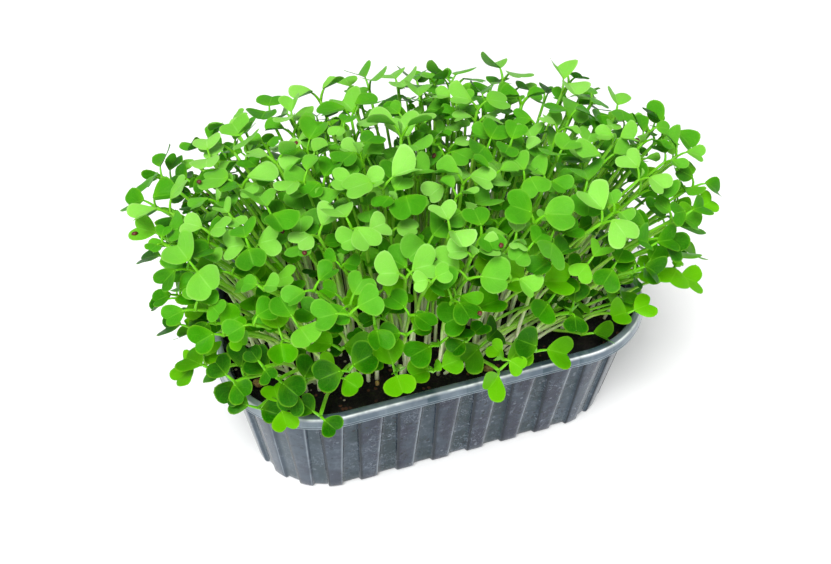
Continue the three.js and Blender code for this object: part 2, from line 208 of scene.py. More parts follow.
def fluted_ring(inset, z, strength):
    """A closed ring inside the rim's outline, with the raised faces and sunk strips of the flutes."""
    face = between(FLUTE_SHARE_FOOT, FLUTE_SHARE_TOP, z / TRAY_HEIGHT)
    low, high = 0.5 - face / 2, 0.5 + face / 2
    flank = FLUTE_FLANK * 1.3
    parts = [
        np.linspace(low, high, 5),
        np.linspace(high, high + flank, 5)[1:],
        np.linspace(high + flank, 1 + low - flank, 5)[1:],
        np.linspace(1 + low - flank, 1 + low, 5)[1:-1],
    ]
    place = np.concatenate(parts)
    up = smooth((place - high) / flank)
    down = 1 - smooth((place - (1 + low - flank)) / flank)
    sunk = np.minimum(up, down)
    share = (np.arange(FLUTES)[:, None] + place[None, :]).ravel() / FLUTES
    depth = np.tile(sunk, FLUTES) * strength * FLUTE_DEPTH
    x, y, nx, ny = outline(share)
    return np.column_stack([x - nx * (inset + depth), y - ny * (inset + depth), np.full_like(x, z)])


def flute_mask(z):
    """1 on the raised faces and 0 on the sunk strips, for each point of a ring."""
    ring = fluted_ring(0, z, 1)
    flat = fluted_ring(0, z, 0)
    return 1 - np.hypot(*(ring - flat)[:, :2].T) / FLUTE_DEPTH


def flute_shade_and_highlight(strength):
    """A half, but 0 on the edge of each raised face that gets a painted shadow line and 1 on the edge that
    gets a painted highlight line, for each point of a ring.
    """
    edge = np.full(FLUTE_POINTS, 0.5)
    edge[[0, -1]] = 0.5 - 0.5 * strength
    edge[4] = 0.5 + 0.5 * strength
    return np.tile(edge, FLUTES)


def new_object(name, data):
    """An object in the scene that shows a mesh, a light or a camera."""
    made = bpy.data.objects.new(name, data)
    bpy.context.scene.collection.objects.link(made)
    return made


class Body:
    """Gathers points, faces and their marks, and makes one mesh object of them."""

    def __init__(self):
        self.points, self.faces, self.uvs, self.tones, self.slots = [], [], [], [], []
        self.count = 0

    def add(self, points, faces, uv=None, tone=(0, 0, 0), slot=0):
        points = np.asarray(points, float)
        n = len(points)
        self.points.append(points)
        self.faces.extend([tuple(int(i) + self.count for i in f) for f in faces])
        self.uvs.append(np.zeros((n, 2)) if uv is None else np.asarray(uv, float))
        tone = np.asarray(tone, float)
        self.tones.append(np.tile(tone, (n, 1)) if tone.ndim == 1 else tone)
        self.slots.extend([slot] * len(faces))
        self.count += n

    def make(self, name, materials, sharp_over=None):
        points = np.concatenate(self.points) * MM
        mesh = bpy.data.meshes.new(name)
        mesh.from_pydata(points.tolist(), [], self.faces)
        for material in materials:
            mesh.materials.append(material)
        mesh.polygons.foreach_set("material_index", self.slots)
        mesh.polygons.foreach_set("use_smooth", [True] * len(self.faces))
        uvs = np.concatenate(self.uvs)
        layer = mesh.uv_layers.new(name="place")
        loops = np.zeros(len(mesh.loops), int)
        mesh.loops.foreach_get("vertex_index", loops)
        layer.data.foreach_set("uv", uvs[loops].astype(np.float32).ravel())
        tone = mesh.color_attributes.new("tone", "FLOAT_COLOR", "POINT")
        tones = np.concatenate(self.tones)
        colours = np.column_stack([tones, np.ones(len(tones))]).astype(np.float32)
        tone.data.foreach_set("color", colours.ravel())
        mesh.validate()
        mesh.update()
        if sharp_over:
            mesh.set_sharp_from_angle(angle=math.radians(sharp_over))
        return new_object(name, mesh)


def ring_faces(rings, n):
    """The faces between rings of n points each."""
    faces = []
    for r in range(rings - 1):
        for i in range(n):
            a, b = r * n + i, r * n + (i + 1) % n
            faces.append((a, b, b + n, a + n))
    return faces


def capped_faces(rings, n):
    """The faces between rings, and a fan round one more point at each end."""
    faces = ring_faces(rings, n)
    first, last, top = rings * n, rings * n + 1, (rings - 1) * n
    for i in range(n):
        j = (i + 1) % n
        faces.append((first, j, i))
        faces.append((last, top + i, top + j))
    return faces


def loft(rings):
    """Points and faces of a closed body through rings, with a fan across each end."""
    points = np.concatenate(rings + [[[0, 0, rings[0][0][2]]], [[0, 0, rings[-1][:, 2].mean()]]])
    return points, capped_faces(len(rings), len(rings[0]))


# The stand of seedlings


def tuft_centres():
    centres = []
    last_column, last_row = (TUFT_COLUMNS - 1) / 2, (TUFT_ROWS - 1) / 2
    for row in np.arange(-last_row, last_row + 1):
        for column in np.arange(-last_column, last_column + 1):
            corner = abs(column) == last_column and abs(row) == last_row
            if corner and column < 0 and row < 0:
                continue
            pull_x, pull_y = CORNER_PULL if corner else (0, 0)
            x = column * TUFT_PITCH_X - np.sign(column) * pull_x
            y = row * TUFT_PITCH_Y - np.sign(row) * pull_y
            centres.append((float(x), float(y)))
    return centres


def shape(number, root, attempt, tries, always_short=False):
    """Where a seedling's tip, leaves and sizes are at one attempt."""

    def own(place):
        return draw(number, 8 + attempt * 8 + place)

    def either(reach, place):
        return between(-reach, reach, own(place))

    x, y = root
    edge = min(1.1, math.hypot(x / STAND_X, y / STAND_Y))
    short = always_short or draw(number, 1) < between(*SHORT_SHARE, min(1, edge**2))
    shortest = SHORTEST[1 if edge > 0.7 else 0]
    share = between(shortest, SHORT_TALLEST, draw(number, 2)) if short else 1
    height = (TALLEST - EDGE_DROP * edge**3) * share + either(HEIGHT_SPREAD, 0)
    wander = between(*WANDER, attempt / tries)
    lean_share = SHORT_LEAN if short else 1
    lean_x = (LEAN_X[0] + LEAN_X[1] * edge**2) * lean_share
    lean_y = (LEAN_Y[0] + LEAN_Y[1] * edge**2) * lean_share
    tip_x = x * (1 + lean_x) + either(wander, 1)
    tip_y = y * (1 + lean_y) + either(wander, 2)
    far = math.hypot((abs(tip_x) / REACH_X) ** REACH_POWER, (abs(tip_y) / REACH_Y) ** REACH_POWER)
    hold = max(1, far)
    return {
        "id": number,
        "root": np.array([x, y, SOIL_TOP]),
        "tip": np.array([tip_x / hold, tip_y / hold, SOIL_TOP + height]),
        "facing": own(3) * 2 * math.pi,
        "size": between(*LEAF_SIZES, draw(number, 3)),
        "rise": between(*PETIOLE_RISES, own(4)),
        "spread": between(*BLADE_RISES, own(5)),
        "roll": either(BLADE_ROLL, 6),
        "uneven": either(BLADE_UNEVEN, 7),
    }


def skeleton(s):
    """The stem's bend and the frames of both leaves."""
    root, tip = s["root"], s["tip"]
    bend = s.get("bend")
    if bend is None:
        bend = root + np.array([0, 0, (tip[2] - root[2]) * STEM_BEND])
    middle = (root + tip) * 0.25 + bend * 0.5
    axis = unit(unit(tip - bend) + np.array([0, 0, UPRIGHT]))
    out = np.array([math.cos(s["facing"]), math.sin(s["facing"]), 0])
    across = unit(np.cross(axis, out))
    forward = unit(np.cross(across, axis))
    leaves = []
    for side in (1, -1):
        away = forward * side
        petiole = unit(away * math.cos(s["rise"]) + axis * math.sin(s["rise"]))
        lift = s["spread"] + side * s["uneven"]
        along = unit(away * math.cos(lift) + axis * math.sin(lift))
        level = across * side
        above = unit(np.cross(along, level))
        wide = level * math.cos(s["roll"]) + above * (side * math.sin(s["roll"]))
        base = tip + petiole * PETIOLE * s["size"]
        leaves.append({"base": base, "along": along, "wide": wide, "face": unit(np.cross(along, wide))})
    return {
        "bend": bend,
        "middle": middle,
        "axis": axis,
        "forward": forward,
        "across": across,
        "leaves": leaves,
    }


# Places on a leaf's middle and round its margin, tested against the discs of other leaves
MARGIN_PROBES = ((0.2, 0.5, 1), (0.62, 1, 1), (0.5, 0.5, 0.5), (0.99, 0.6, 1), (0.82, 0.83, 1))
PROBE_PLACES = np.array(
    [(0, 0, 0), (0.5, 0, 0), (NOTCH, 0, 0)]
    + [(x, y * side, z * LEAF_CUP) for side in (-1, 1) for x, y, z in MARGIN_PROBES]
)


def leaf_points(leaf, size, places):
    """Places given as shares of length, half width and length again, in space."""
    length, width = LEAF_LENGTH * size, LEAF_WIDTH / 2 * size
    return (
        leaf["base"]
        + places[:, 0:1] * length * leaf["along"]
        + places[:, 1:2] * width * leaf["wide"]
        + places[:, 2:3] * length * leaf["face"]
    )


STEM_SHARES = np.arange(1, STEM_PROBES + 1)[:, None] / STEM_PROBES


def probes(s):
    """The points and discs that stand for a seedling in a clash test."""
    k = skeleton(s)
    lower = s["root"] * (1 - STEM_SHARES) + k["middle"] * STEM_SHARES
    upper = k["middle"] * (1 - STEM_SHARES) + s["tip"] * STEM_SHARES
    stem = np.stack([lower, upper], 1).reshape(-1, 3)
    petioles = [s["tip"] * (1 - t) + leaf["base"] * t for leaf in k["leaves"] for t in PETIOLE_PROBES]
    centre = np.array([[DISC_MIDDLE, 0, LEAF_CUP * 0.5]])
    return {
        "stem": np.concatenate([stem, petioles]),
        "centre": np.array([leaf_points(leaf, s["size"], centre)[0] for leaf in k["leaves"]]),
        "axes": np.array([[leaf["along"], leaf["wide"], leaf["face"]] for leaf in k["leaves"]]),
        "points": np.array([leaf_points(leaf, s["size"], PROBE_PLACES) for leaf in k["leaves"]]),
    }


class Stand:
    """The seedlings placed so far, with their probe points stacked for quick clash tests."""

    def __init__(self, room):
        self.n = 0
        self.tip = np.zeros((room, 2))
        self.size = np.zeros(room)
        self.stem = np.zeros((room, 2 * (STEM_PROBES + len(PETIOLE_PROBES)), 3))
        self.low = np.zeros((room, 3))
        self.high = np.zeros((room, 3))
        self.centre = np.zeros((room, 2, 3))
        self.axes = np.zeros((room, 2, 3, 3))
        self.points = np.zeros((room, 2, len(PROBE_PLACES), 3))

    def keep(self, s, p):
        i = self.n
        self.tip[i], self.size[i], self.stem[i] = s["tip"][:2], s["size"], p["stem"]
        self.low[i], self.high[i] = p["stem"].min(0), p["stem"].max(0)
        self.centre[i], self.axes[i], self.points[i] = p["centre"], p["axes"], p["points"]
        self.n += 1

    def clash(self, s, p, margin):
        """Whether a seedling would touch one of those placed."""
        n = self.n
        if n == 0:
            return False
        near_tip = np.hypot(self.tip[:n, 0] - s["tip"][0], self.tip[:n, 1] - s["tip"][1]) <= TIPS_APART
        low, high = p["stem"].min(0), p["stem"].max(0)
        apart = STEM_WIDTH_FOOT + margin / 2 if margin == CLEARANCE else INFILL_STEMS_APART
        touching = np.all((self.low[:n] <= high + apart) & (self.high[:n] >= low - apart), 1) & near_tip
        found = np.nonzero(touching)[0]
        if len(found):
            mine = p["stem"][FOOT_PROBES:]
            others = self.stem[found][:, FOOT_PROBES:].reshape(-1, 3)
            d = mine[:, None, :] - others[None, :, :]
            if (np.einsum("ijk,ijk->ij", d, d) < apart * apart).any():
                return True
        found = np.nonzero(near_tip)[0]
        if not len(found):
            return False
        # Their stems against these leaves, and these stems against their leaves
        own_size = np.full(2, s["size"])
        if inside(self.stem[found].reshape(1, -1, 3), p["centre"], p["axes"], own_size, margin).any():
            return True
        centre = self.centre[found].reshape(-1, 3)
        axes = self.axes[found].reshape(-1, 3, 3)
        size = np.repeat(self.size[found], 2)
        if inside(p["stem"][None], centre, axes, size, margin).any():
            return True
        for j in range(2):
            d = centre - p["centre"][j]
            close = np.nonzero(np.einsum("ij,ij->i", d, d) < LEAVES_APART**2)[0]
            if not len(close):
                continue
            if inside(p["points"][j][None], centre[close], axes[close], size[close], margin).any():
                return True
            theirs = self.points[found].reshape(-1, len(PROBE_PLACES), 3)[close].reshape(1, -1, 3)
            mine = slice(j, j + 1)
            if inside(theirs, p["centre"][mine], p["axes"][mine], own_size[mine], margin).any():
                return True
        return False


def inside(points, centre, axes, size, margin):
    """Which points lie in the flat discs round leaves, grown by a margin."""
    d = points - centre[:, None, :]
    local = np.einsum("dpk,dak->dpa", d, axes)
    a = (LEAF_LENGTH * DISC_REACH * size + margin)[:, None]
    b = (LEAF_WIDTH / 2 * size + margin)[:, None]
    flat = np.abs(local[..., 2]) < LEAF_THICKNESS / 2 + margin
    return flat & ((local[..., 0] / a) ** 2 + (local[..., 1] / b) ** 2 < 1)


def meets_rim(p):
    """Whether a seedling would dip into the medium or come too near the rim."""
    points = np.concatenate([p["stem"], p["points"].reshape(-1, 3)])
    z = points[:, 2]
    if (z < SOIL_TOP - 1).any():
        return True
    band = (z <= TRAY_HEIGHT + 3) & (z >= SOIL_TOP + 1)
    dx = np.maximum(0, np.abs(points[:, 0]) - STRAIGHT_X)
    dy = np.maximum(0, np.abs(points[:, 1]) - STRAIGHT_Y)
    return bool((band & (np.hypot(dx, dy) > CORNER_RADIUS - WALL_TOP_INSET - WALL - RIM_CLEARANCE)).any())


def hides_rim(p):
    """Whether leaves would hang over the front rim, which is nearly bare on the real one."""
    points = p["points"].reshape(-1, 3)
    return bool(((points[:, 1] < FRONT_CLEAR_Y) & (points[:, 2] < FRONT_CLEAR_Z)).any())


def tuft_root(number, centre, slot):
    turn = (slot + draw(number, 0) * 0.5) / PER_TUFT * 2 * math.pi + centre[0]
    return centre[0] + ROOT_REACH * math.cos(turn), centre[1] + ROOT_REACH * math.sin(turn)


def sprawling(number):
    """A long seedling lying low towards the right-hand end of the front rim."""
    place = draw(number, 1)
    root = np.array([between(*SPRAWL_ROOT_X, place), between(*SPRAWL_ROOT_Y, draw(number, 2)), SOIL_TOP])
    run = np.array([between(*reach, draw(number, 3 + i)) for i, reach in enumerate(SPRAWL_RUN)])
    s = shape(number, root[:2], 0, TRIES)
    s["tip"] = root + run
    s["bend"] = root + run * np.array(SPRAWL_BEND)
    return s


def infill_root(number, inner=0.0):
    """A root in the medium, evenly over a rounded rectangle, or only over its outer band."""
    angle = draw(number, 4) * 2 * math.pi
    x, y = math.cos(angle), math.sin(angle)
    far = (abs(x) ** INFILL_POWER + abs(y) ** INFILL_POWER) ** (1 / INFILL_POWER)
    reach = math.sqrt(between(inner, 1, draw(number, 5))) / far
    return INFILL_X * reach * x, INFILL_Y * reach * y


def grow(centres):
    """The CAD stand again, then the seedlings that fill the room between them."""
    stand = Stand(len(centres) * PER_TUFT + INFILL + SHORT_INFILL + EDGE_INFILL + SPRAWLING)
    own, extra = [], []
    for slot in range(PER_TUFT):
        for tuft, centre in enumerate(centres):
            number = tuft * PER_TUFT + slot
            root = tuft_root(number, centre, slot)
            for attempt in range(TRIES):
                s = shape(number, root, attempt, TRIES)
                p = probes(s)
                if meets_rim(p) or stand.clash(s, p, CLEARANCE):
                    continue
                stand.keep(s, p)
                own.append((tuft, s))
                break
    for number in range(SPRAWL_FIRST_ID, SPRAWL_FIRST_ID + SPRAWLING):
        s = sprawling(number)
        stand.keep(s, probes(s))
        extra.append(s)
    groups = ((INFILL, False, 0.0), (SHORT_INFILL, True, 0.0), (EDGE_INFILL, False, EDGE_BAND))
    plan = [(always_short, inner) for count, always_short, inner in groups for _ in range(count)]
    for number, (always_short, inner) in enumerate(plan, INFILL_FIRST_ID):
        root = infill_root(number, inner)
        for attempt in range(INFILL_TRIES):
            s = shape(number, root, attempt, INFILL_TRIES, always_short)
            s["size"] *= between(*INFILL_SIZES, draw(number, 6))
            s["spread"] = between(*INFILL_BLADE_RISES, draw(number, 7))
            p = probes(s)
            in_front = hides_rim(p) and draw(number, 9) > OVER_RIM_SHARE
            if meets_rim(p) or in_front or stand.clash(s, p, INFILL_CLEARANCE):
                continue
            stand.keep(s, p)
            extra.append(s)
            break
    return own, extra


# One fine seedling

# Half a leaf's margin from its petiole to its notch, as shares of its length and half width
WEDGE_MARGIN = (
    (0.0, 0.07), (0.05, 0.18), (0.14, 0.38), (0.27, 0.63), (0.43, 0.85), (0.61, 0.99),
    (0.78, 0.96), (0.92, 0.79), (0.99, 0.55), (0.98, 0.31), (0.925, 0.12), (0.87, 0.02),
)
ROUND_MARGIN = (
    (0.0, 0.08), (0.02, 0.34), (0.1, 0.6), (0.24, 0.83), (0.42, 0.97), (0.6, 1.0),
    (0.78, 0.9), (0.9, 0.74), (0.965, 0.53), (0.945, 0.3), (0.885, 0.12), (0.83, 0.02),
)
LOBED_MARGIN = (
    (0.0, 0.08), (0.12, 0.12), (0.22, 0.4), (0.32, 0.62), (0.4, 0.48), (0.5, 0.86),
    (0.6, 0.7), (0.72, 0.84), (0.8, 0.6), (0.91, 0.48), (0.97, 0.25), (1.0, 0.02),
)


def resample(line, n):
    """n points evenly along a smooth curve through the given points."""
    line, steps = np.array(line), []
    padded = np.vstack([2 * line[0] - line[1], line, 2 * line[-1] - line[-2]])
    for i in range(len(line) - 1):
        p0, p1, p2, p3 = padded[i : i + 4]
        for t in np.linspace(0, 1, 12, endpoint=False):
            curve = 2 * p1 + (p2 - p0) * t + (2 * p0 - 5 * p1 + 4 * p2 - p3) * t**2
            steps.append(0.5 * (curve + (3 * p1 - p0 - 3 * p2 + p3) * t**3))
    steps.append(line[-1])
    steps = np.array(steps)
    length = np.concatenate([[0], np.cumsum(np.hypot(*np.diff(steps, axis=0).T))])
    want = np.linspace(0, length[-1], n)
    return np.column_stack([np.interp(want, length, steps[:, 0]), np.interp(want, length, steps[:, 1])])


class LeafGrid:
    """The grid that a leaf's upper and lower skins share, which meet at its margin."""

    def __init__(self, rows, columns):
        self.rows = np.arange(rows + 1) / rows
        self.across = np.linspace(-1, 1, 2 * columns + 1)
        self.wedge = resample(WEDGE_MARGIN, rows + 1)
        self.round = resample(ROUND_MARGIN, rows + 1)
        self.lobed = resample(LOBED_MARGIN, rows + 1)
        top = np.arange((rows + 1) * (2 * columns + 1)).reshape(rows + 1, 2 * columns + 1)
        under = top.copy()
        self.inner = np.zeros(top.shape, bool)
        self.inner[1:-1, 1:-1] = True
        under[self.inner] = top.size + np.arange(self.inner.sum())
        self.faces = []
        for r in range(rows):
            for c in range(2 * columns):
                self.faces.append((top[r, c], top[r + 1, c], top[r + 1, c + 1], top[r, c + 1]))
                self.faces.append((under[r, c], under[r, c + 1], under[r + 1, c + 1], under[r + 1, c]))


FINE_LEAF = LeafGrid(14, 4)
INFILL_LEAF = LeafGrid(11, 3)


def add_leaf(body, leaf, size, number, side, tone, grid, lobed=False):
    """A leaf: a seed leaf has two rounded lobes round a notch, and the first true leaf a lobed margin."""

    def pick(channel):
        return draw(number, LEAF_CHANNEL + side * CHANNELS_A_LEAF + channel)

    notch = between(0.74, 0.9, pick(0))
    cup = between(-0.07, 0.18, pick(1))
    droop = between(-0.14, 0.34, pick(2))
    twist = between(-0.22, 0.22, pick(3))
    ripple = between(0.015, 0.065, pick(4))
    phase = pick(5) * 6.3
    lean = between(0.93, 1.07, pick(6))
    fold = max(0, between(-0.1, 0.5, pick(7)))
    rows, across = grid.rows, grid.across
    if lobed:
        notch, margin = 1.0, grid.lobed
    else:
        kind = pick(8) ** 2.5
        margin = grid.wedge * (1 - kind) + grid.round * kind
        margin[:, 0] += (notch - NOTCH) * smooth((rows - 0.75) / 0.25)
    middle = np.column_stack([notch * rows**0.9, np.zeros_like(rows)])
    share = np.abs(across)[None, :, None]
    sides = np.where(across < 0, -1.0, 1.0)
    flat = middle[:, None, :] * (1 - share) + margin[:, None, :] * share
    along = flat[..., 0]
    wide = flat[..., 1] * sides[None, :] * np.where(across < 0, lean, 2 - lean)[None, :]
    radial = np.abs(wide)
    lift = cup * radial**1.7 + fold * (np.sqrt(radial**2 + 0.01) - 0.1)
    lift = lift - droop * along**2.2 * 0.5 + twist * wide * along
    lift = lift + ripple * np.sin(phase + along * 7 + wide * 3) * radial**2
    sink = 0.012 * np.exp(-((wide / 0.07) ** 2)) * (1 - rows[:, None] ** 3)
    blade = 0.012 * (1 - np.abs(across)[None, :] ** 3) * (1 - (2 * rows[:, None] - 1) ** 8)
    rib = 0.03 * np.exp(-((wide / 0.09) ** 2)) * (1 - rows[:, None]) ** 0.7
    top = np.stack([along, wide, lift - sink + blade], -1).reshape(-1, 3)
    under = np.stack([along, wide, lift - sink - blade - rib], -1)[grid.inner]
    places = np.concatenate([top, under])
    points = leaf_points(leaf, size, places)
    uv = np.stack(np.broadcast_arrays(across[None, :] * 0.5 + 0.5, rows[:, None]), -1)
    uv = np.concatenate([uv.reshape(-1, 2), uv[grid.inner]])
    skin = np.concatenate([np.zeros(len(top)), np.ones(len(under))])
    tones = np.column_stack([np.full(len(points), tone[0]), np.full(len(points), tone[1]), skin])
    body.add(points, grid.faces, uv, tones, slot=0)


def add_tube(body, path, radii, sides, uv_from, uv_to, tone, slot):
    """A closed tube along a path, with its ends drawn in."""
    path = np.asarray(path, float)
    n = len(path)
    tangent = np.gradient(path, axis=0)
    tangent /= np.linalg.norm(tangent, axis=1)[:, None]
    first = np.cross(tangent[0], (1.0, 0.0, 0.0) if abs(tangent[0][0]) < 0.8 else (0.0, 1.0, 0.0))
    first /= np.linalg.norm(first)
    rings = []
    turn = np.arange(sides) / sides * 2 * math.pi
    for i in range(n):
        first = first - tangent[i] * (first @ tangent[i])
        first /= np.linalg.norm(first)
        second = np.cross(tangent[i], first)
        rings.append(path[i] + radii[i] * (np.cos(turn)[:, None] * first + np.sin(turn)[:, None] * second))
    ends = [[path[0] - tangent[0] * radii[0] * 0.5], [path[-1] + tangent[-1] * radii[-1] * 0.5]]
    points = np.concatenate(rings + ends)
    v = np.repeat(np.linspace(uv_from, uv_to, n), sides)
    u = np.tile(turn / (2 * math.pi), n)
    uv = np.vstack([np.column_stack([u, v]), [0, uv_from], [0, uv_to]])
    body.add(points, capped_faces(n, sides), uv, (tone[0], tone[1], 0), slot)


def add_seedling(body, coats, s, grid, steps):
    """A curved stem with two petioles and two seed leaves, and on some a first true leaf or a seed coat."""
    number, size = s["id"], s["size"]

    def own(channel):
        return draw(number, FINE_CHANNEL + channel)

    k = skeleton(s)
    root = s["root"] - np.array([0, 0, FOOT_BELOW])
    t = np.linspace(0, 1, steps)[:, None]
    path = root * (1 - t) ** 2 + 2 * k["bend"] * t * (1 - t) + s["tip"] * t**2
    phase, sway = own(0) * 6.3, between(0.2, 0.9, own(1))
    envelope = np.sin(t * math.pi) ** 1.5
    waves = np.column_stack([np.sin(phase + t[:, 0] * 9), np.cos(phase + t[:, 0] * 7), np.zeros(steps)])
    path = path + envelope * sway * waves
    thick = between(0.82, 1.05, own(2))
    radii = np.interp(t[:, 0], *STEM_RADII) * thick
    height = float(np.clip((s["tip"][2] - SOIL_TOP) / TALLEST, 0, 1))
    tone = (own(3), height)
    add_tube(body, path, radii, 6, 0, 1, tone, slot=1)
    for side, leaf in enumerate(k["leaves"]):
        start = s["tip"] - k["axis"] * 1.2
        q = np.linspace(0, 1, 5)[:, None]
        control = s["tip"] + k["axis"] * 0.8 + (leaf["base"] - s["tip"]) * 0.35
        end = leaf["base"] + leaf["along"] * LEAF_LENGTH * size * 0.1
        line = start * (1 - q) ** 2 + 2 * control * q * (1 - q) + end * q**2
        add_tube(body, line, np.array(PETIOLE_RADII) * thick, 6, 1.0, 1.3, tone, slot=1)
        leaf_tone = (0.65 * tone[0] + 0.35 * own(4 + side), height)
        add_leaf(body, leaf, size, number, side, leaf_tone, grid)
    if own(11) < TRUE_LEAF_SHARE:
        along = unit(k["axis"] + k["forward"] * between(-0.7, 0.7, own(13)) + k["across"] * 0.4)
        wide = unit(np.cross(k["forward"], along))
        base = s["tip"] + k["axis"] * 0.6
        young = {"base": base, "along": along, "wide": wide, "face": np.cross(along, wide)}
        add_leaf(body, young, between(0.36, 0.56, own(14)), number, 2, (1.0, height), grid, lobed=True)
    if own(12) < SEED_COAT_SHARE:
        place = np.array([[between(0.5, 0.95, own(15)), 0.5, 0.16]])
        spot = leaf_points(k["leaves"][0], size, place)[0]
        add_lump(coats, spot, np.array(SEED_COAT_RADII), number, 0.0)


# Materials


class Nodes:
    """A new material, with short calls for its nodes."""

    def __init__(self, name):
        self.material = bpy.data.materials.new(name)
        self.material.use_nodes = True
        self.tree = self.material.node_tree
        self.tree.nodes.clear()

    def node(self, kind, inputs=None, **settings):
        made = self.tree.nodes.new(kind)
        for key, value in settings.items():
            setattr(made, key, value)
        for key, value in (inputs or {}).items():
            self.feed(made.inputs[key], value)
        return made

    def feed(self, socket, value):
        if isinstance(value, bpy.types.NodeSocket):
            self.tree.links.new(value, socket)
        elif isinstance(value, (tuple, list)) and len(value) == 3 and socket.type == "RGBA":
            socket.default_value = (*value, 1)
        else:
            socket.default_value = value

    def math(self, operation, a, b=0.0, c=0.0, clamp=False):
        made = self.node("ShaderNodeMath", {0: a, 1: b, 2: c}, operation=operation, use_clamp=clamp)
        return made.outputs[0]

    def times(self, a, b, clamp=False):
        return self.math("MULTIPLY", a, b, clamp=clamp)

    def mix(self, factor, a, b):
        return self.node("ShaderNodeMix", {0: factor, 6: a, 7: b}, data_type="RGBA").outputs[2]

    def span(self, value, low, high, to_low=0.0, to_high=1.0):
        inputs = {0: value, 1: low, 2: high, 3: to_low, 4: to_high}
        return self.node("ShaderNodeMapRange", inputs, interpolation_type="SMOOTHSTEP").outputs[0]

    def fall(self, value, low, high):
        return self.span(value, low, high, 1.0, 0.0)

    def noise(self, vector, scale, detail=3.0, roughness=0.5):
        inputs = {"Vector": vector, "Scale": scale, "Detail": detail, "Roughness": roughness}
        return self.node("ShaderNodeTexNoise", inputs).outputs["Fac"]

    def cells(self, vector, scale, **settings):
        return self.node("ShaderNodeTexVoronoi", {"Vector": vector, "Scale": scale}, **settings).outputs

    def channels(self, colour):
        return self.node("ShaderNodeSeparateColor", {0: colour}).outputs[:3]

    def bump(self, strength, distance, height):
        inputs = {"Strength": strength, "Distance": distance, "Height": height}
        return self.node("ShaderNodeBump", inputs).outputs[0]

    def coords(self):
        """A point's place in its object, in metres."""
        return self.node("ShaderNodeTexCoord").outputs["Object"]

    def own_place(self):
        """Across and along a leaf or stem, or the painted highlight of the tray's lip and the marks of its
        hem.
        """
        layer = self.node("ShaderNodeUVMap", uv_map="place").outputs[0]
        return self.node("ShaderNodeSeparateXYZ", {0: layer}).outputs[:2]

    def tones(self):
        """A point's three marks in the colour layer."""
        return self.channels(self.node("ShaderNodeAttribute", attribute_name="tone").outputs["Color"])

    def finish(self, **inputs):
        """Feeds the shader and gives the material."""
        shader = self.node("ShaderNodeBsdfPrincipled")
        for key, value in inputs.items():
            self.feed(shader.inputs[key.replace("_", " ")], value)
        self.tree.links.new(shader.outputs[0], self.node("ShaderNodeOutputMaterial").inputs["Surface"])
        return self.material


def leaf_material():
    n = Nodes("seed_leaf")
    coords = n.coords()
    across, along = n.own_place()
    tone, height, skin = n.tones()
    side = n.math("ABSOLUTE", n.math("MULTIPLY_ADD", across, 2.0, -1.0))
    patch = n.noise(coords, 260.0, 3.0)
    # young is not the leaves' age here: it is random tone plus the seedling's height, so leaves low in the
    # stand are darkened as painted shade and the tallest lightened as painted light
    young = n.math("MULTIPLY_ADD", tone, 0.9, n.math("MULTIPLY_ADD", height, 0.9, -0.28))
    young = n.math("MULTIPLY_ADD", patch, 0.2, young)
    base = n.mix(n.span(young, 0.35, 1.0), (0.009, 0.084, 0.0002), (0.04, 0.255, 0.0004))
    base = n.mix(n.span(young, 0.9, 1.45), base, (0.125, 0.48, 0.004))
    vivid = n.times(n.span(tone, 0.44, 0.78), n.span(height, 0.95, 0.6, 0.0, 0.8))
    base = n.mix(vivid, base, (0.115, 0.4, 0.001))
    # Painted sheen: the top leaves are made paler and bluer, as if they reflected the white sky
    top_sheen = n.times(n.span(height, 0.66, 0.98), n.span(tone, 0.25, 0.9, 0.06, 0.92))
    base = n.mix(top_sheen, base, (0.235, 0.57, 0.085))
    base = n.mix(n.span(along, 0.0, 0.45, 0.3, 0.0), base, (0.17, 0.5, 0.006))
    # Midrib, curved side veins, a fine net between them and a pale thin margin
    rib = n.fall(side, 0.0, 0.075)
    curve = n.math("MULTIPLY_ADD", side, 0.42, n.times(along, -1.0))
    wave = n.math("FRACT", n.times(curve, 4.0))
    wave = n.math("ABSOLUTE", n.math("SUBTRACT", wave, 0.5))
    vein = n.times(n.fall(wave, 0.0, 0.06), n.fall(side, 0.55, 0.9))
    net = n.fall(n.cells(coords, 900.0, feature="DISTANCE_TO_EDGE")["Distance"], 0.0, 0.08)
    marks = n.math("MAXIMUM", n.times(rib, 0.27), n.times(vein, 0.1))
    marks = n.math("MAXIMUM", marks, n.times(net, 0.06))
    base = n.mix(n.times(skin, 0.3), base, (0.08, 0.3, 0.012))
    # The veins and margin are paler still where the painted sheen lies
    pale = n.mix(top_sheen, (0.2, 0.58, 0.025), (0.5, 0.82, 0.3))
    base = n.mix(marks, base, pale)
    base = n.mix(n.times(n.span(side, 0.86, 1.0), 0.26), base, pale)
    grain = n.math("ADD", n.times(vein, -0.5), n.times(n.noise(coords, 700.0, 4.0), 0.5))
    return n.finish(
        Base_Color=base,
        Roughness=n.span(patch, 0.3, 0.7, 0.4, 0.54),
        IOR=1.36,
        Specular_IOR_Level=0.3,
        Specular_Tint=(0.6, 1.0, 0.3),
        Subsurface_Weight=0.12,
        Subsurface_Radius=(0.3, 1.0, 0.1),
        Subsurface_Scale=0.0012,
        Normal=n.bump(0.22, 0.0004, grain),
    )


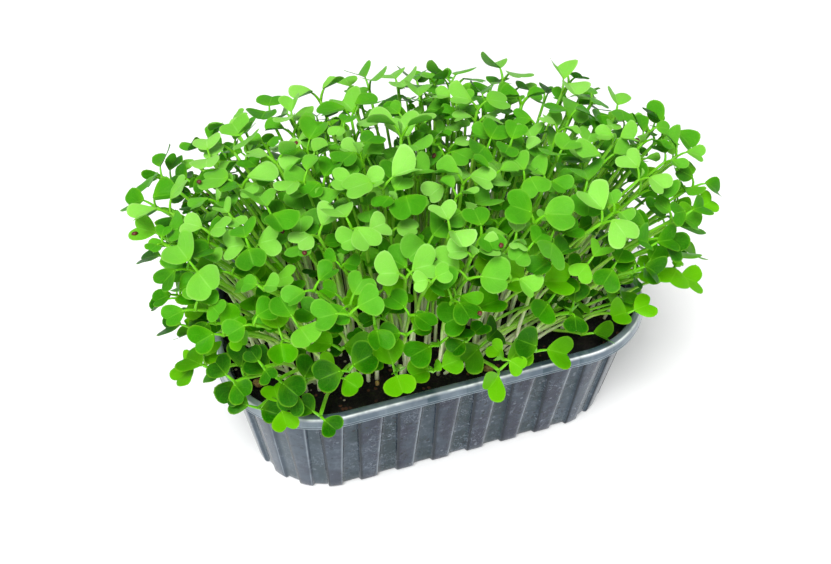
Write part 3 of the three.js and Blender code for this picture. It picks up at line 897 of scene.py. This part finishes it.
def stem_material():
    n = Nodes("seedling_stem")
    streak = n.noise(n.coords(), 500.0, 2.0)
    up = n.math("MULTIPLY_ADD", streak, 0.2, n.own_place()[1])
    low = n.mix(n.span(up, 0.3, 0.8), (0.88, 0.95, 0.62), (0.36, 0.68, 0.07))
    base = n.mix(n.span(up, 0.65, 1.08), low, (0.14, 0.49, 0.004))
    base = n.mix(n.times(n.tones()[0], 0.18), base, (0.34, 0.6, 0.08))
    return n.finish(
        Base_Color=base,
        Roughness=0.42,
        Specular_IOR_Level=0.25,
        Subsurface_Weight=0.35,
        Subsurface_Radius=(0.8, 1.0, 0.4),
        Subsurface_Scale=0.001,
        Normal=n.bump(0.2, 0.0003, streak),
    )


def soil_material():
    n = Nodes("growing_medium")
    coords = n.coords()
    coarse = n.noise(coords, 160.0, 6.0, 0.65)
    base = n.mix(n.span(coarse, 0.4, 0.7), (0.003, 0.0025, 0.0025), (0.018, 0.013, 0.011))
    grain = n.cells(coords, 520.0)
    away, pick = grain["Distance"], n.channels(grain["Color"])
    speck = n.times(n.span(pick[0], 0.95, 0.97), n.fall(away, 0.25, 0.4))
    base = n.mix(speck, base, (0.45, 0.38, 0.3))
    chip = n.times(n.span(pick[1], 0.9, 0.93), n.fall(away, 0.3, 0.5))
    base = n.mix(chip, base, (0.09, 0.035, 0.02))
    bump = n.bump(0.9, 0.0015, n.math("ADD", coarse, n.times(away, -0.4)))
    return n.finish(Base_Color=base, Roughness=0.88, Specular_IOR_Level=0.25, Normal=bump)


def tray_material():
    n = Nodes("clear_plastic")
    coords = n.coords()
    lip_highlight, hem = n.own_place()
    # edge holds the painted shadow and highlight lines of the flutes
    edge, face, rim = n.tones()
    haze = n.noise(coords, 90.0, 4.0)
    raised = n.span(face, 0.2, 0.8)
    base = n.mix(raised, (0.01, 0.027, 0.034), (0.02, 0.023, 0.044))
    base = n.mix(n.times(n.span(haze, 0.4, 0.64), 0.7), base, (0.045, 0.066, 0.092))
    mottle = n.noise(coords, 330.0, 4.0, 0.65)
    base = n.mix(n.span(mottle, 0.52, 0.72, 0.0, 0.36), base, (0.14, 0.165, 0.205))
    base = n.mix(n.span(mottle, 0.46, 0.3, 0.0, 0.7), base, (0.01, 0.014, 0.02))
    # Thin scratches: narrow bands of stretched noise
    scratches = []
    for turn, scale in ((0.4, 300.0), (1.9, 380.0)):
        settings = {"Vector": coords, "Rotation": (turn, turn * 1.7, 0.2), "Scale": (1.0, 0.2, 1.0)}
        lines = n.noise(n.node("ShaderNodeMapping", settings).outputs[0], scale, 1.0)
        scratches.append(n.fall(n.math("ABSOLUTE", n.math("SUBTRACT", lines, 0.55)), 0.0, 0.012))
    scratch = n.times(n.math("MAXIMUM", *scratches), n.span(n.noise(coords, 70.0, 2.0), 0.48, 0.6))
    base = n.mix(n.times(scratch, 0.75), base, (0.24, 0.28, 0.34))
    # Drops, grit and roots that show through the wall
    for scale, low in ((330.0, 0.74), (620.0, 0.8)):
        cells = n.cells(coords, scale)
        pick = n.channels(cells["Color"])
        spot = n.fall(cells["Distance"], 0.16, 0.3)
        dark = n.times(n.span(pick[0], low, low + 0.02), spot)
        base = n.mix(n.times(dark, 0.9), base, (0.004, 0.006, 0.008))
        pale = n.times(n.span(pick[1], low + 0.13, low + 0.15), spot)
        base = n.mix(n.times(pale, 0.36), base, (0.28, 0.32, 0.37))
    # Painted light: paler towards the ends, as if light shone through there, and on each flute a painted
    # shadow line on one edge and a painted highlight line on the other
    along = n.math("ABSOLUTE", n.node("ShaderNodeSeparateXYZ", {0: coords}).outputs[0])
    base = n.mix(n.span(along, 0.035, 0.09, 0.0, 0.42), base, (0.14, 0.18, 0.22))
    # Painted shadow line along one edge of each raised face
    base = n.mix(n.times(n.span(edge, 0.35, 0.0), 0.85), base, (0.006, 0.01, 0.014))
    # Painted highlight line along its other edge, broken up by the haze
    line = n.times(n.span(edge, 0.75, 1.0), n.span(haze, 0.35, 0.6, 0.25, 0.7))
    base = n.mix(line, base, (0.3, 0.35, 0.4))
    # The rim and its skirt: milky, with the ribs faintly seen through, and paler at the ends as painted light
    # shining through
    milky_with_lit_ends = n.mix(raised, (0.1, 0.16, 0.2), (0.2, 0.26, 0.32))
    milky_with_lit_ends = n.mix(n.span(haze, 0.4, 0.62, 0.0, 0.55), milky_with_lit_ends, (0.4, 0.48, 0.55))
    milky_with_lit_ends = n.mix(n.span(along, 0.055, 0.088, 0.0, 0.75), milky_with_lit_ends, (0.64, 0.72, 0.78))
    base = n.mix(n.times(rim, 0.74), base, milky_with_lit_ends)
    # The skirt's hem: pale lines, and between them a dark line of painted shade
    base = n.mix(n.times(hem, 0.85, clamp=True), base, (0.56, 0.64, 0.7))
    base = n.mix(n.times(hem, -0.8, clamp=True), base, (0.03, 0.045, 0.055))
    # Painted highlight along the rim's lip, broken up by noise into painted glints
    glint = n.span(n.noise(coords, 150.0, 2.0), 0.36, 0.58, 0.45, 1.0)
    base = n.mix(n.times(lip_highlight, glint), base, (0.95, 0.97, 0.99))
    waves = n.times(n.noise(coords, 60.0, 2.0), n.span(rim, 0.0, 1.0, 1.0, 0.1))
    return n.finish(
        Base_Color=base,
        Roughness=n.math("MULTIPLY_ADD", haze, 0.14, 0.08),
        IOR=1.49,
        Transmission_Weight=n.times(n.span(rim, 0.0, 1.0, 0.12, 0.4), n.fall(lip_highlight, 0.0, 1.0)),
        Specular_IOR_Level=0.2,
        Specular_Tint=(0.72, 0.87, 1.0),
        Normal=n.bump(0.14, 0.0012, waves),
    )


def husk_material():
    n = Nodes("seed_coat")
    grain = n.noise(n.coords(), 900.0, 4.0)
    patch = n.span(grain, 0.35, 0.65)
    dark = n.mix(patch, (0.05, 0.006, 0.004), (0.16, 0.02, 0.012))
    tan = n.mix(patch, (0.3, 0.16, 0.04), (0.55, 0.36, 0.13))
    base = n.mix(n.tones()[0], dark, tan)
    return n.finish(Base_Color=base, Roughness=0.5, Normal=n.bump(0.5, 0.0003, grain))


def floor_material():
    n = Nodes("pale_floor")
    base = n.mix(n.noise(n.coords(), 3.0), (0.9, 0.9, 0.9), (0.91, 0.91, 0.91))
    return n.finish(Base_Color=base, Roughness=0.8)


LEAF, STEM, SOIL = leaf_material(), stem_material(), soil_material()
TRAY, HUSK, FLOOR = tray_material(), husk_material(), floor_material()


# The tray and what fills it


def wall_inset(z):
    """The outer face of the wall at a height, as an inset from the rim's outline."""
    return between(FOOT_INSET, FLUTE_END_INSET, z / FLUTE_END_HEIGHT)


def inside_inset(z):
    """The inner face of the wall in the same way."""
    return between(FOOT_INSET, FLUTE_END_INSET, (z - WALL) / (FLUTE_END_HEIGHT - WALL)) + WALL


# The painted highlight along the rim's edge: how bright it is, by the inset of its rings
LIP_HIGHLIGHT = {0.45: 1.0, 0.05: 0.45}
# The pale and dark lines of the skirt's hem, each up to a height above its lower edge; the dark line is
# painted shade
HEM_MARKS = ((0.4, 1.0), (1.0, -1.0), (1.2, 0.7))


def hem_mark(inset, rise):
    return next((mark for height, mark in HEM_MARKS if inset < 0 and rise < height), 0.0)


def make_tray():
    top, end, skirt = TRAY_HEIGHT, FLUTE_END_HEIGHT, TRAY_HEIGHT - SKIRT_DROP
    # Each ring of the profile: inset from the rim's outline, height, and strength of the flutes
    profile = [
        (FOOT_INSET + 7.0, 0.9, 0.0),
        (FOOT_INSET + 5.0, 0.7, 0.2),
        (FOOT_INSET + 4.2, 0.1, 0.6),
        (FOOT_INSET + 3.4, 0.0, 0.8),
        (FOOT_INSET + 1.6, 0.0, 1.0),
        (FOOT_INSET + 0.7, 0.25, 1.0),
        (FOOT_INSET + 0.15, 0.9, 1.0),
        (wall_inset(2.0), 2.0, 1.0),
    ]
    profile += [(wall_inset(z), z, 1.0) for z in np.linspace(6, end - 5, 8)]
    profile += [
        (wall_inset(end - 2), end - 2, 1.0),
        (wall_inset(end), end, 1.0),
        (wall_inset(end) - 0.2, end + 1.6, 0.9),
        (WALL_TOP_INSET + 0.05, end + 3.2, 0.5),
        (WALL_TOP_INSET, top - 1.1, 0.0),
        (WALL_TOP_INSET - 0.3, top - WALL, 0.0),
        (WALL + 0.3, top - WALL, 0.0),
        (WALL - 0.1, top - 1.2, 0.0),
        (WALL - SKIRT_FLARE + 0.1, skirt + 0.5, 0.0),
        (WALL - SKIRT_FLARE - 0.1, skirt + 0.05, 0.0),
        (-SKIRT_FLARE + 0.2, skirt, 0.0),
        (-SKIRT_FLARE - 0.15, skirt + 0.3, 0.0),
        (-SKIRT_FLARE + 0.05, skirt + 0.8, 0.0),
        (-SKIRT_FLARE + 0.1, skirt + 1.1, 0.0),
        (-SKIRT_FLARE + 0.15, skirt + 1.5, 0.0),
        (-0.15, top - 1.3, 0.0),
        (0.05, top - 0.55, 0.0),
        (0.45, top - 0.12, 0.0),
        (1.1, top, 0.0),
        (WALL_TOP_INSET + 0.1, top, 0.0),
        (WALL_TOP_INSET + 0.6, top - 0.2, 0.0),
        (WALL_TOP_INSET + WALL, top - 0.8, 0.0),
        (WALL_TOP_INSET + WALL + 0.1, end + 3.0, 0.5),
        (inside_inset(end) - 0.15, end + 1.4, 0.9),
        (inside_inset(end), end, 1.0),
    ]
    profile += [(inside_inset(z), z, 1.0) for z in np.linspace(end - 2, 4, 8)]
    profile += [
        (inside_inset(2.2) + 0.1, 2.2, 1.0),
        (FOOT_INSET + WALL + 0.8, 1.2, 1.0),
        (FOOT_INSET + WALL + 2.0, WALL + 0.1, 1.0),
        (FOOT_INSET + 6.0, WALL + 0.5, 0.3),
        (FOOT_INSET + 7.5, 1.7, 0.0),
    ]
    rings = [fluted_ring(*ring) for ring in profile]
    points, faces = loft(rings)

    def on_points(marks):
        """One mark a ring, given to each of its points, and none at the two ends."""
        return np.concatenate([np.full(len(rings[0]), float(mark)) for mark in marks] + [[0, 0]])

    seen = [max(strength, 0.8 * (inset < WALL_TOP_INSET)) for inset, _, strength in profile]
    raised = np.concatenate([flute_mask(z) * share for (_, z, _), share in zip(profile, seen)] + [[0, 0]])
    # Where the flutes' painted shadow and highlight lines fall
    edge_shade_and_highlight = np.concatenate([flute_shade_and_highlight(share) for share in seen] + [[0.5, 0.5]])
    on_rim = WALL_TOP_INSET - 0.1
    is_rim = [1.0 if inset < on_rim else smooth((z - top + 2.4) / 1.4) for inset, z, _ in profile]
    # The painted highlight along the rim's lip
    lip_highlight = on_points(LIP_HIGHLIGHT.get(inset, 0.0) for inset, _, _ in profile)
    hem = on_points(hem_mark(inset, z - skirt) for inset, z, _ in profile)
    body = Body()
    body.add(points, faces, np.column_stack([lip_highlight, hem]), np.column_stack([edge_shade_and_highlight, raised, on_points(is_rim)]))
    made = body.make("clear_tray", [TRAY], sharp_over=50)
    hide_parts("tray")
    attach(made, "root")


NOISE_TABLE = 64
# The lumps of the growing medium: their size, seed and height
SOIL_LUMPS = ((7.0, 5, 1.5), (2.6, 6, 0.9), (1.1, 7, 0.45))
SOIL_SINK = 1.3


def hash_noise(x, y, scale, seed):
    """Smooth value noise in the plane, from a seeded lattice."""
    table = np.random.default_rng(seed).random((NOISE_TABLE, NOISE_TABLE))
    gx, gy = x / scale + 31.7, y / scale + 29.3
    ix, iy = np.floor(gx).astype(int), np.floor(gy).astype(int)
    fx, fy = smooth(gx - ix), smooth(gy - iy)

    def row(j):
        left, right = (table[(ix + i) % NOISE_TABLE, (iy + j) % NOISE_TABLE] for i in (0, 1))
        return left * (1 - fx) + right * fx

    return row(0) * (1 - fy) + row(1) * fy


def soil_height(x, y):
    return sum(hash_noise(x, y, scale, seed) * high for scale, seed, high in SOIL_LUMPS) - SOIL_SINK


# What lies on the medium: how many, their radii, and how tan rather than dark they are
BITS = ((14, (1.9, 1.3, 1.0), 1.0), (46, (0.9, 0.7, 0.5), 0.0), (26, (0.5, 0.45, 0.4), 1.0))
BITS_SPREAD = (1.04, 1.1)
PEBBLE_RADII = (3.0, 2.2, 1.6)
LUMP_RINGS, LUMP_SIDES = 5, 8


def make_bits():
    """Husks, grit, pale crumbs and two pebbles lying on the growing medium."""
    body = Body()
    number = BITS_FIRST_ID
    for count, radii, tan in BITS:
        for _ in range(count):
            x, y = infill_root(number)
            x, y = x * BITS_SPREAD[0], y * BITS_SPREAD[1]
            z = SOIL_TOP + float(soil_height(np.array(x), np.array(y))) + radii[2] * 0.35
            size = between(0.6, 1.15, draw(number, 1))
            add_lump(body, (x, y, z), np.array(radii) * size, number, tan)
            number += 1
    for x, y in PEBBLES:
        add_lump(body, (x, y, SOIL_TOP + 0.6), np.array(PEBBLE_RADII), number, 1.0)
        number += 1
    made = body.make("husks_and_grit", [HUSK])
    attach(made, "root")


def add_lump(body, centre, radii, number, tan):
    """A rough little ellipsoid, turned by its number."""
    rings, sides = LUMP_RINGS, LUMP_SIDES
    polar = np.linspace(0.25, math.pi - 0.25, rings)
    turn = np.arange(sides) / sides * 2 * math.pi
    places = [(math.sin(a), a, b) for a in polar for b in turn]
    points = [(wide * math.cos(b), wide * math.sin(b), math.cos(a)) for wide, a, b in places]
    points = np.array(points + [(0, 0, 1), (0, 0, -1)])
    rough = np.array([between(0.84, 1.14, draw(number, 10 + i)) for i in range(len(points))])
    points = points * rough[:, None] * radii
    angle, tilt = draw(number, 2) * 2 * math.pi, between(-0.5, 0.5, draw(number, 3))
    c, s, ct, st = math.cos(angle), math.sin(angle), math.cos(tilt), math.sin(tilt)
    tilted = points @ np.array([[ct, 0, -st], [0, 1, 0], [st, 0, ct]]).T
    turned = tilted @ np.array([[c, -s, 0], [s, c, 0], [0, 0, 1]]).T
    faces = [(b, a, d, e) for a, b, e, d in ring_faces(rings, sides)]
    for i in range(sides):
        j = (i + 1) % sides
        faces.append((rings * sides, i, j))
        faces.append((rings * sides + 1, (rings - 1) * sides + j, (rings - 1) * sides + i))
    body.add(turned + np.array(centre), faces, None, (tan, draw(number, 4), 0))


# Where the rings of the medium's top lie, as shares of the way to its middle
SOIL_RINGS = (0.0, 0.02, 0.045, 0.07, 0.1, 0.135, 0.17, 0.21, 0.25)
SOIL_RINGS += (0.3, 0.36, 0.42, 0.5, 0.6, 0.7, 0.8, 0.9, 0.97)


def make_soil():
    low = WALL + FIT_GAP
    heights = [low, 2.6] + list(np.linspace(6, SOIL_TOP - 1.2, 9))
    rings = [fluted_ring(inside_inset(low) + FIT_GAP + 2.5, low, 1)]
    for z in heights:
        rings.append(fluted_ring(inside_inset(z) + FIT_GAP + (0.8 if z == low else 0), z, 1))
    outer = fluted_ring(inside_inset(SOIL_TOP) + FIT_GAP + 0.3, SOIL_TOP, 1)
    for share in SOIL_RINGS:
        ring = outer.copy()
        ring[:, :2] *= 1 - share
        ring[:, 2] = SOIL_TOP + soil_height(ring[:, 0], ring[:, 1]) * (0.55 if share == 0 else 1)
        rings.append(ring)
    body = Body()
    body.add(*loft(rings))
    made = body.make("moist_medium", [SOIL])
    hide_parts("growing_medium")
    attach(made, "root")


def make_seedlings():
    centres = tuft_centres()
    own, extra = grow(centres)
    coats = Body()
    print("seedlings in the tufts", len(own), "and between them", len(extra))
    for tuft in range(len(centres)):
        members = [s for t, s in own if t == tuft]
        node = f"seedling_tuft_{tuft + 1:02d}"
        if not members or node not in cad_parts:
            print("no seedling or node for", node)
            continue
        body = Body()
        for s in members:
            add_seedling(body, coats, s, FINE_LEAF, 11)
        made = body.make(f"fine_tuft_{tuft + 1:02d}", [LEAF, STEM], sharp_over=75)
        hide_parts(node)
        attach(made, "root")
    for piece in range(INFILL_PIECES):
        body = Body()
        for s in extra[piece::INFILL_PIECES]:
            add_seedling(body, coats, s, INFILL_LEAF, 9)
        made = body.make(f"infill_seedlings_{piece + 1}", [LEAF, STEM], sharp_over=75)
        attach(made, "root")
    made = coats.make("seed_coats", [HUSK])
    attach(made, "root")


# The camera looks as the photograph was taken: its place comes from a fit to the rim and foot
CAMERA_AZIMUTH = math.radians(-19.57)
CAMERA_ELEVATION = math.radians(43.66)
CAMERA_ROLL = math.radians(1.30)
CAMERA_DISTANCE = 433.8
CAMERA_ASIDE = -3.77
CAMERA_ABOVE = 47.20
FOCAL_PIXELS = 880.1
FRAME_WIDTH = 831
SENSOR_WIDTH = 36

# The studio: lengths in metres, angles in degrees
FLOOR_REACH = 6.0
WORLD_STRENGTH = 0.4
SUN_POWER = 2.75
SUN_SPREAD = 30
SUN_TILT = (22, -16, 0)


def make_camera():
    a, e, r = CAMERA_AZIMUTH, CAMERA_ELEVATION, CAMERA_ROLL
    back = np.array([math.sin(a) * math.cos(e), -math.cos(a) * math.cos(e), math.sin(e)])
    right = np.array([math.cos(a), math.sin(a), 0])
    up = np.cross(back, right)
    right, up = math.cos(r) * right + math.sin(r) * up, -math.sin(r) * right + math.cos(r) * up
    place = (right * CAMERA_ASIDE + up * CAMERA_ABOVE + back * CAMERA_DISTANCE) * MM
    data = bpy.data.cameras.new("camera")
    data.sensor_width = SENSOR_WIDTH
    data.lens = FOCAL_PIXELS / FRAME_WIDTH * SENSOR_WIDTH
    data.clip_start, data.clip_end = 0.01, 50
    camera = new_object("camera", data)
    camera.matrix_world = Matrix([*zip(right, up, back, place), (0, 0, 0, 1)])
    bpy.context.scene.camera = camera


def area_light(name, place, target, size, power):
    data = bpy.data.lights.new(name, "AREA")
    data.shape = "DISK"
    data.size = size
    data.energy = power
    made = new_object(name, data)
    made.location = place
    direction = Vector(target) - made.location
    made.rotation_mode = "QUATERNION"
    made.rotation_quaternion = direction.to_track_quat("-Z", "Y")


def make_studio():
    signs = ((-1, -1), (1, -1), (1, 1), (-1, 1))
    mesh = bpy.data.meshes.new("floor")
    mesh.from_pydata([(x * FLOOR_REACH, y * FLOOR_REACH, 0) for x, y in signs], [], [(0, 1, 2, 3)])
    mesh.materials.append(FLOOR)
    floor = new_object("floor", mesh)
    world = bpy.data.worlds.new("studio")
    world.use_nodes = True
    background = world.node_tree.nodes["Background"]
    background.inputs[0].default_value = (1, 1, 1, 1)
    background.inputs[1].default_value = WORLD_STRENGTH
    bpy.context.scene.world = world
    sun = bpy.data.lights.new("sky", "SUN")
    sun.energy = SUN_POWER
    sun.angle = math.radians(SUN_SPREAD)
    made = new_object("sky", sun)
    made.rotation_euler = [math.radians(angle) for angle in SUN_TILT]
    area_light("key", (-0.35, -0.3, 0.95), (0, 0, 0.08), 0.3, 2.5)
    area_light("front", (-0.25, -0.75, 0.3), (0, 0, 0.07), 0.5, 1.8)
    bpy.context.scene.view_settings.view_transform = "Standard"


make_camera()
make_studio()
make_tray()
make_soil()
make_bits()
make_seedlings()
